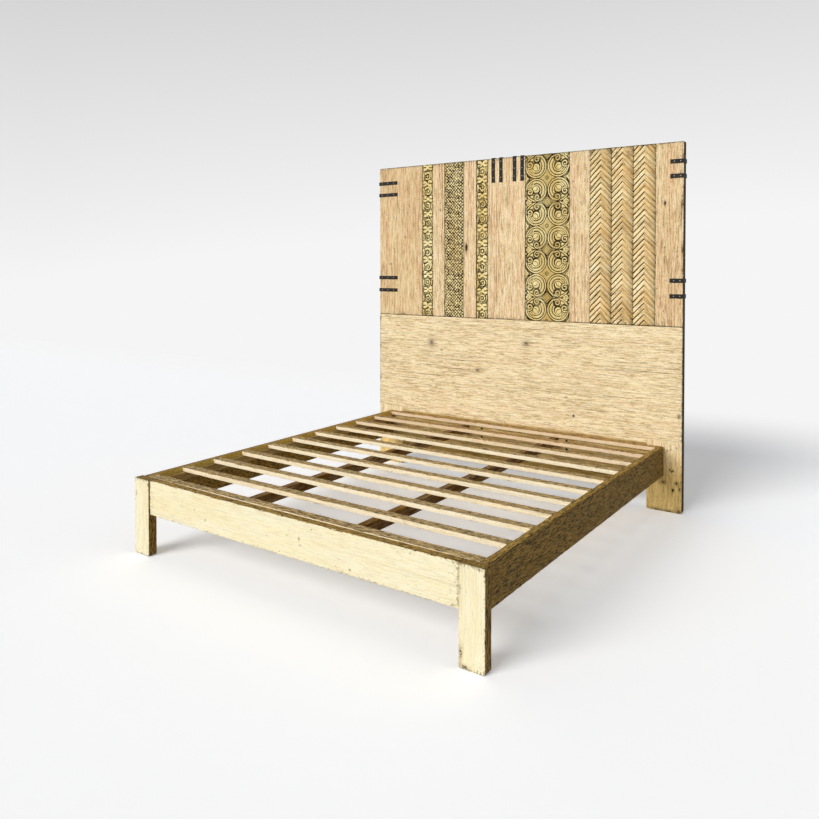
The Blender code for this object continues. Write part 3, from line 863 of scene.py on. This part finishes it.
def carved_board(node, tile, slot, columns, rows, pitch, mirrored=0.0, slant=0.0, waver=0.004):
    """A board whose front is a carved field and whose edges and back are plain."""
    low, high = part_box(node)
    grain_start = [PICK.uniform(0, 20) for _ in range(3)]
    pattern = put("pattern", tile)
    obj = grown(
        f"carved_{node}",
        CARVED_FIELD,
        {
            "Tile": pattern,
            "Columns": columns,
            "Rows": rows,
            "Column pitch": pitch[0],
            "Row pitch": pitch[1],
            "Mirrored": mirrored,
            "Slant": slant,
            "Waver": waver,
            "Grain start": grain_start,
            "Finish": FINISH[slot],
        },
    )
    bpy.data.objects.remove(pattern)
    bpy.data.meshes.remove(tile)
    made = bmesh.new()
    made.from_mesh(obj.data)
    middle = Vector(((low[0] + high[0]) / 2, low[1], (low[2] + high[2]) / 2))
    bmesh.ops.translate(made, verts=made.verts, vec=middle)
    for level, side in ((low[2], -1), (high[2], 1)):
        everything = made.verts[:] + made.edges[:] + made.faces[:]
        bmesh.ops.bisect_plane(
            made, geom=everything, dist=1e-6, plane_co=(0, 0, level), plane_no=(0, 0, side), clear_outer=True
        )
    rim = [edge for edge in made.edges if edge.is_boundary]
    grown_back = bmesh.ops.extrude_edge_only(made, edges=rim)["geom"]
    half = made.verts.layers.float_vector["half"]
    for vert in made.verts:
        vert[half] = Vector(((high[2] - low[2]) / 2, (high[0] - low[0]) / 2, 0.0))
    grain = made.verts.layers.float_vector["grain"]
    plain = [made.verts.layers.float[label] for label in ("hollow", "tone")]
    for vert in (item for item in grown_back if isinstance(item, bmesh.types.BMVert)):
        vert.co.y = high[1]
        across, deep, up = vert.co - middle
        vert[grain] = Vector(grain_start) + Vector((up, across, deep))
        for layer in plain:
            vert[layer] = 0.0
    back = [edge for edge in made.edges if edge.is_boundary]
    bmesh.ops.contextual_create(made, geom=back)
    bmesh.ops.recalc_face_normals(made, faces=made.faces)
    # The board's edges and back are marked for the sides' painted shade
    away = made.faces.layers.float.new("away")
    for face in made.faces:
        edge = any(abs(vert.co.y - high[1]) < 1e-6 for vert in face.verts)
        face[away] = 0.0 if not edge else BACK_AWAY if face.normal.y > 0.8 else 1.0
        face.smooth = not edge
    made.to_mesh(obj.data)
    made.free()
    return settle(obj, slot, node)


def scroll_tile(width, height):
    """A scroll medallion of the right column: the star's quarter lies above it, the lozenge's below."""
    carve = Relief(width, height, 0.00192, 0.0070)
    # Rim, broad band on the inner side and a ridge round the eye
    away = np.hypot(carve.u, carve.v)
    carve.cord(arc((0, 0), 0.0684, 0.0684, 0, 360, 72), 0.0048)
    carve.cord(arc((0, 0), 0.0520, 0.0500, 72, 330, 60), (0.0086, 0.0098), 0.95)
    carve.shade(0.45, (away > 0.042) & (away < 0.062) & (carve.u < 0.03))
    carve.cord(arc((0, 0), 0.0348, 0.0336, 50, 300, 40), (0.0042, 0.0052))
    # Ridges fanned out towards the star
    for reach in (0.0560, 0.0440, 0.0330):
        carve.cord(arc((0, 0), reach, reach, -12, 64, 24), (0.0040, 0.0048), 0.95)
    carve.boss((0.0, 0.0060), 0.0235, 1.0, 0.6)
    carve.shade(0.2, np.hypot(carve.u, carve.v - 0.006) < 0.0235)
    crescent = np.hypot(carve.u - 0.006, carve.v - 0.013)
    nick = (np.abs(crescent - 0.0165) < 0.0018) & (carve.u + carve.v < 0.008)
    carve.cut(-0.0060, nick)
    # Two curls: one under the eye, one at the outer edge
    carve.volute((-0.0070, -0.0455), 0.0215, 215, 0.0046)
    carve.volute((0.0445, -0.0100), 0.0215, 60, 0.0048)
    carve.shade(0.35, np.hypot(carve.u + 0.007, carve.v + 0.0455) < 0.024)
    carve.volute((0.0575, -height / 2), 0.0165, 90, 0.0054, 0.95)
    carve.boss((0.0725, -0.0500), 0.0075, 0.85)
    carve.boss((0.0360, -0.0700), 0.0060, 0.8)
    carve.cord([(0.0755, 0.0500), (0.0690, 0.0640), (0.0560, height / 2)], 0.0052, 0.85)
    carve.boss((0.0735, 0.0720), 0.0060, 0.85)
    du, dv = carve.u + width / 2, height / 2 - carve.v
    star = np.clip((away - 0.0735) / 0.005, 0, 1) * np.clip((0.060 - np.maximum(du, dv)) / 0.004, 0, 1)
    on_star = (star > 0) & (du < 0.062) & (dv < 0.062)
    carve.lay(-carve.depth * (1 - star), on_star)
    carve.shade(0.95, on_star)
    corner = (-width / 2, height / 2)
    gap = np.hypot(du, dv)
    carve.cut(-0.0055, (gap > 0.0095) & (gap < 0.0125))
    carve.boss(corner, 0.0095, 1.0)
    carve.pit(corner, 0.0045)
    fall = du + (carve.v + height / 2)
    on_lozenge = (fall < 0.034) & (away > 0.0725)
    carve.lay(-0.0006, on_lozenge)
    carve.shade(0.9, on_lozenge)
    carve.cut(-0.0050, (fall < 0.0255) & (fall > 0.0215))
    carve.cut(-0.0050, (fall < 0.0115) & (fall > 0.0085))
    past = carve.u - width / 2 + 0.0035
    carve.cut(-carve.depth * np.clip(past / 0.003, 0, 1), carve.u > width / 2 - 0.0035)
    return carve.tile("scroll", 0.57)


def leaf_tile(width, height, seed):
    """Five periods of a foliate strip: open rings round an eye, between them four leaves spread from a knot."""
    carve = Relief(width, height, 0.0016, 0.0055)
    uneven = random.Random(seed)
    periods = 5
    period = height / periods
    strays = [[uneven.uniform(-1, 1) for _ in range(12)] for _ in range(periods)]
    for place in range(-1, periods + 1):
        stray = strays[place % periods]
        size, lean = 1 + 0.12 * stray[0], 30 * stray[1]
        eye = (0.0025 + 0.003 * stray[2], (place + 0.25 + 0.03 * stray[3]) * period - height / 2)
        ring = arc(eye, 0.0185 * size, 0.0215 * size, lean - 150, lean + 120, 32)
        carve.cord(ring, (0.0034 * size, 0.0064 * size), 1.0, 0.4)
        carve.boss(eye, (0.0068 * size, 0.0085 * size), 0.85, 0.3)
        carve.pit((eye[0] + 0.003 * stray[4], eye[1]), 0.0036)
        outer = ((-0.0345, -0.020 * size), (-0.0315, -0.004), (-0.0350, 0.014 * size))
        outer = [(across, eye[1] + upward) for across, upward in outer]
        carve.cord(outer, (0.0036, 0.0060), 0.95, 0.4)
        carve.cord(arc(eye, 0.0335, 0.0345, lean - 40, lean + 30, 12), (0.0028, 0.0048), 0.95, 0.3)
        knot = (0.003 * stray[5], (place + 0.75 + 0.03 * stray[6]) * period - height / 2)
        for corner, (across, upward) in enumerate(((-1, -1), (1, -1), (-1, 1), (1, 1))):
            spread = 1 + 0.22 * stray[7 + corner]
            leaf = [
                (knot[0] + across * reach, knot[1] + upward * rise * spread)
                for reach, rise in ((0.003, 0.002), (0.011, 0.009), (0.019, 0.013), (0.029, 0.012))
            ]
            carve.cord(leaf, (0.0056, 0.0096 * spread), 1.0, 0.6)
        carve.pit((0.004 * stray[11], knot[1] + 0.012), 0.0042)

    def anywhere():
        return uneven.uniform(-0.039, 0.039), uneven.uniform(-height / 2, height / 2)

    # Nicks and crumbs of wear
    for _ in range(18 * periods):
        carve.pit(anywhere(), uneven.uniform(0.0026, 0.0046), 0.8)
        carve.boss(anywhere(), uneven.uniform(0.0028, 0.0046), 0.85, 0.3)
    edge = width / 2 - np.abs(carve.u)
    carve.cut(-carve.depth * np.clip((0.0058 - edge) / 0.0016, 0, 1), edge < 0.0058)
    return carve.tile("leaf", 0.52)


def lattice_tile(width, height):
    """Rows of small beads set diagonally, of uneven size, larger round staggered eyes."""
    carve = Relief(width, height, 0.0016, 0.0045)
    columns, rows = 7, 10
    step, climb = width / columns, height / rows
    eyes = ((-width / 4, 0), (width / 4, height / 2), (width / 4, -height / 2))
    uneven = random.Random(5)
    beads = [
        [(uneven.uniform(0.8, 1.25), *(uneven.uniform(-0.0025, 0.0025) for _ in range(2))) for _ in range(columns)]
        for _ in range(rows)
    ]
    for row in range(-6, 7):
        for column in range(-4, 5):
            swell, aside, above = beads[row % rows][column % columns]
            spot = ((column + 0.5 * (row % 2)) * step + aside, row * climb + above)
            near = min(abs(spot[0] - u) / step + abs(spot[1] - v) / (2 * climb) for u, v in eyes)
            size = swell * (0.0070 if near < 1.2 else 0.0057)
            carve.boss(spot, (size * 0.95, size * 1.05), 1.0, 0.6)
    edge = width / 2 - np.abs(carve.u)
    carve.cut(-carve.depth * np.clip((0.0045 - edge) / 0.003, 0, 1), edge < 0.0045)
    return carve.tile("lattice", 0.76)


def chevron_tile(width, pitch):
    """One period of chevrons: a groove at 45 degrees up to the middle and down again, then a flat."""
    half = width / 2
    lip, bed = 0.0047, 0.0035
    steps = (0.0, bed, lip, 0.009, 0.018, pitch - lip, pitch - bed, pitch)
    levels = (-0.0036, -0.0032, 0.0, 0.0, 0.0, 0.0, -0.0032, -0.0036)
    across = [-half, -half + 0.0025, -0.75 * half, -0.5 * half, -0.25 * half, -0.0012]
    across = across + [0.0] + [-u for u in reversed(across)]
    points, hollow, tone = [], [], []
    for step, level in zip(steps, levels):
        for u in across:
            sunk = level * (1.0 if u <= 0 else 0.4) - (0.0022 if abs(u) >= half else 0.0)
            points.append((u, -sunk, step + half - abs(u) - pitch / 2 - half / 2))
            # Painted shade with soiling: grooves darken fully on the left half and a third as much on the right, as
            # the light falls; the right half darkens towards the board's edge as painted shade and both edges take a
            # dark seam; the right half's darker golden tone is partly its own and partly painted shade
            darkening = min(1.0, -level / 0.0032) * (1.0 if u < 0 else 0.34)
            side = (u / half) ** 2 * (0.42 if u > 0 else 0.0) + (0.3 if abs(u) > half - 0.0010 else 0.0)
            hollow.append(min(1.0, darkening + side))
            tone.append(0.0 if u < 0 else 0.6)
    wide = len(across)
    quads = [
        (i * wide + j, i * wide + j + 1, (i + 1) * wide + j + 1, (i + 1) * wide + j)
        for i in range(len(steps) - 1)
        for j in range(wide - 1)
    ]
    return drawn("chevron", points, quads, hollow=hollow, tone=tone)


def build_carving():
    for node in sorted(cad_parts):
        if not node.startswith("board_") or node.endswith("plain"):
            continue
        low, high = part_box(node)
        width, height = high[0] - low[0], high[2] - low[2]
        if node.endswith("scroll"):
            pitch = (width / 2, height / 7)
            carved_board(node, scroll_tile(*pitch), "carved_wood", 2, 7, pitch, 1.0)
        elif node.endswith("leaf"):
            pitch = (width, height / 2)
            seed = 11 if node.startswith("board_02") else 12
            carved_board(node, leaf_tile(*pitch, seed), "carved_wood", 1, 2, pitch, waver=0.009)
        elif node.endswith("lattice"):
            pitch = (width, height / 10)
            carved_board(node, lattice_tile(*pitch), "lattice_wood", 1, 10, pitch)
        else:
            pitch = (width, 0.0341)
            carved_board(node, chevron_tile(*pitch), "chevron_wood", 1, 37, pitch, slant=1.0, waver=0.0015)


def round_heads():
    """A flattened round head at each point."""
    inputs = (
        ("Places", GEOMETRY, None), ("Size", VECTOR, None), ("Segments", WHOLE, 9), ("Rings", WHOLE, 5),
        ("Finish", MATERIAL, None),
    )
    tree, given, give = group_tree("round_heads", "GeometryNodeTree", inputs, (("Geometry", GEOMETRY),))
    ball_inputs = {"Segments": given["Segments"], "Rings": given["Rings"], "Radius": 1.0}
    ball = wire(tree, "GeometryNodeMeshUVSphere", ball_inputs)[0]
    head = wire(tree, "GeometryNodeTransform", {"Geometry": ball, "Scale": given["Size"]})[0]
    laid = wire(tree, "GeometryNodeInstanceOnPoints", {"Points": given["Places"], "Instance": head})[0]
    whole = wire(tree, "GeometryNodeRealizeInstances", {0: laid})[0]
    smooth = wire(tree, "GeometryNodeSetShadeSmooth", {0: whole})[0]
    return give(Geometry=with_finish(smooth, given["Finish"]))


# How far each nail of a strap is from the strap's bend
LONG_STRAP, SHORT_STRAP = (0.026, 0.078, 0.130), (0.020, 0.056)
# Slats are screwed to the beams and, this far from their ends, to the ledgers
BEAM_X, LEDGER_IN = 0.323, 0.012


def build_fastenings():
    """Nails of the iron straps and countersunk screws of the slats."""
    heads = round_heads()
    places = []
    for node in sorted(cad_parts):
        if not node.startswith("strap_"):
            continue
        low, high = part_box(node)
        middle = [(low[axis] + high[axis]) / 2 for axis in range(3)]
        face = low[1] + 0.0004
        if "left" in node:
            places += [(low[0] + step, face, middle[2]) for step in LONG_STRAP]
        elif "right" in node:
            places += [(high[0] - step, face, middle[2]) for step in SHORT_STRAP]
        else:
            places += [(middle[0], face, high[2] - step) for step in LONG_STRAP]
    values = {"Size": (0.0040, 0.0016, 0.0040), "Finish": rubbed_nail()}
    settle(grown("strap_nails", heads, values, drawn("nails", places)), "iron")
    places = []
    for slat in SLATS:
        low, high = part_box(slat)
        middle = (low[1] + high[1]) / 2
        for x in (-BEAM_X, BEAM_X, low[0] + LEDGER_IN, high[0] - LEDGER_IN):
            x, y = x + PICK.uniform(-0.004, 0.004), middle + PICK.uniform(-0.006, 0.006)
            places.append((x, y, high[2] - 0.0006))
    values = {"Size": (0.0030, 0.0030, 0.0009), "Finish": FINISH["iron"]}
    settle(grown("slat_screws", heads, values, drawn("screws", places)), "iron")


def dress_iron():
    for name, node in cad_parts.items():
        if name.startswith(("strap_", "bolt_")):
            node.data.materials.clear()
            node.data.materials.append(FINISH["iron"])


def looked_at(tree):
    """One for rays that show the backdrop, straight on or in gloss and glass; none for rays that light the bed."""
    path = wire(tree, "ShaderNodeLightPath")
    return most(path["Is Camera Ray"], most(path["Is Glossy Ray"], path["Is Transmission Ray"]))


def build_stage():
    """A pale sweep: floor, cove and wall in one sheet."""
    near, far, half, rise, cove, cove_steps = -14.0, 6.5, 60.0, 30.0, 2.5, 12
    outline = [(near, 0.0), (far - cove - 0.6, 0.0)]
    for i in range(cove_steps + 1):
        turn = math.radians(90 * i / cove_steps)
        outline.append((far - cove + cove * math.sin(turn), cove - cove * math.cos(turn)))
    outline.append((far, rise))
    points = [(x, y, z) for y, z in outline for x in (-half, half)]
    faces = [(2 * i, 2 * i + 1, 2 * i + 3, 2 * i + 2) for i in range(len(outline) - 1)]
    mesh = drawn("sweep", points, faces)
    mesh.shade_smooth()
    sweep = put("sweep", mesh)
    material, tree = new_material("pale_sweep")
    tree.nodes.clear()
    place = wire(tree, "ShaderNodeTexCoord")["Object"]
    across, back, up = split(place)
    # The wall darkens with the angle at which the eye looks up to it
    eye = (2.3, -3.2, 1.4)
    distance = length((place - eye) * (1.0, 1.0, 0.0))
    climb = (up - eye[2]) / distance - ramp(across, -16.0, 0.0, 0.0, 0.085)
    wall_colour = blend(ramp(climb, -0.02, 0.32), srgb(245, 245, 245), srgb(213, 213, 213))
    wall = wire(tree, "ShaderNodeEmission", {0: wall_colour, 1: 1.0})[0]
    upright = wire(tree, "ShaderNodeCombineXYZ", {2: 1.0})[0]
    floor = wire(tree, "ShaderNodeBsdfDiffuse", {0: (1.15, 1.165, 1.20, 1.0), "Normal": upright})[0]
    glow = wire(tree, "ShaderNodeEmission", {0: (1.0, 1.0, 1.0, 1.0), 1: 0.17})[0]
    floor = wire(tree, "ShaderNodeAddShader", {0: floor, 1: glow})[0]
    seen = wire(tree, "ShaderNodeMixShader", {0: ramp(back, 2.6, 4.2), 1: floor, 2: wall})[0]
    dull_colour = blend(ramp(up, 0.0, 0.6), (0.6, 0.6, 0.6, 1.0), (0.32, 0.32, 0.32, 1.0))
    dull = wire(tree, "ShaderNodeBsdfDiffuse", {0: dull_colour})[0]
    mixed = wire(tree, "ShaderNodeMixShader", {0: looked_at(tree), 1: dull, 2: seen})[0]
    wire(tree, "ShaderNodeOutputMaterial", {0: mixed})
    mesh.materials.append(material)


def build_lights():
    sun = bpy.data.lights.new("key", "SUN")
    sun.energy = 2.88
    sun.angle = math.radians(42)
    sun.color = (1.0, 0.985, 0.95)
    key = put("key", sun)
    # From the left of the foot, a little above the headboard's middle
    key.rotation_euler = Vector((0.25, 0.871, -0.4226)).to_track_quat("-Z", "Y").to_euler()
    world = bpy.data.worlds.new("soft_room")
    world.use_nodes = True
    tree = world.node_tree
    shade = tree.nodes["Background"]
    shade.inputs[0].default_value = (0.94, 0.98, 1.04, 1.0)
    shade.inputs[1].default_value = 0.22
    pale = wire(tree, "ShaderNodeBackground", {0: srgb(243, 243, 243), 1: 1.0})[0]
    lit = Flow(shade.outputs[0])
    mixed = wire(tree, "ShaderNodeMixShader", {0: looked_at(tree), 1: lit, 2: pale})[0]
    tree.links.new(mixed.socket, tree.nodes["World Output"].inputs["Surface"])
    bpy.context.scene.world = world


def build_camera():
    data = bpy.data.cameras.new("photo_view")
    data.sensor_width = 36.0
    data.lens = FOCAL_PIXELS / PHOTO_SIDE * data.sensor_width
    data.shift_x = (PHOTO_SIDE / 2 - VIEW_CENTRE[0]) / PHOTO_SIDE
    data.shift_y = (VIEW_CENTRE[1] - PHOTO_SIDE / 2) / PHOTO_SIDE
    camera = put("photo_view", data)
    back = Vector(
        (
            math.sin(CAMERA_TURN) * math.cos(CAMERA_DROP),
            -math.cos(CAMERA_TURN) * math.cos(CAMERA_DROP),
            math.sin(CAMERA_DROP),
        )
    )
    right = Vector((0, 0, 1)).cross(back).normalized()
    up = back.cross(right)
    turn = Matrix((right, up, back)).transposed()
    camera.matrix_world = Matrix.Translation(CAMERA_PLACE) @ turn.to_4x4()
    bpy.context.scene.camera = camera


build_platform()
build_headboard()
build_carving()
build_fastenings()
dress_iron()
build_stage()
build_lights()
build_camera()
bpy.context.scene.view_settings.view_transform = "Standard"
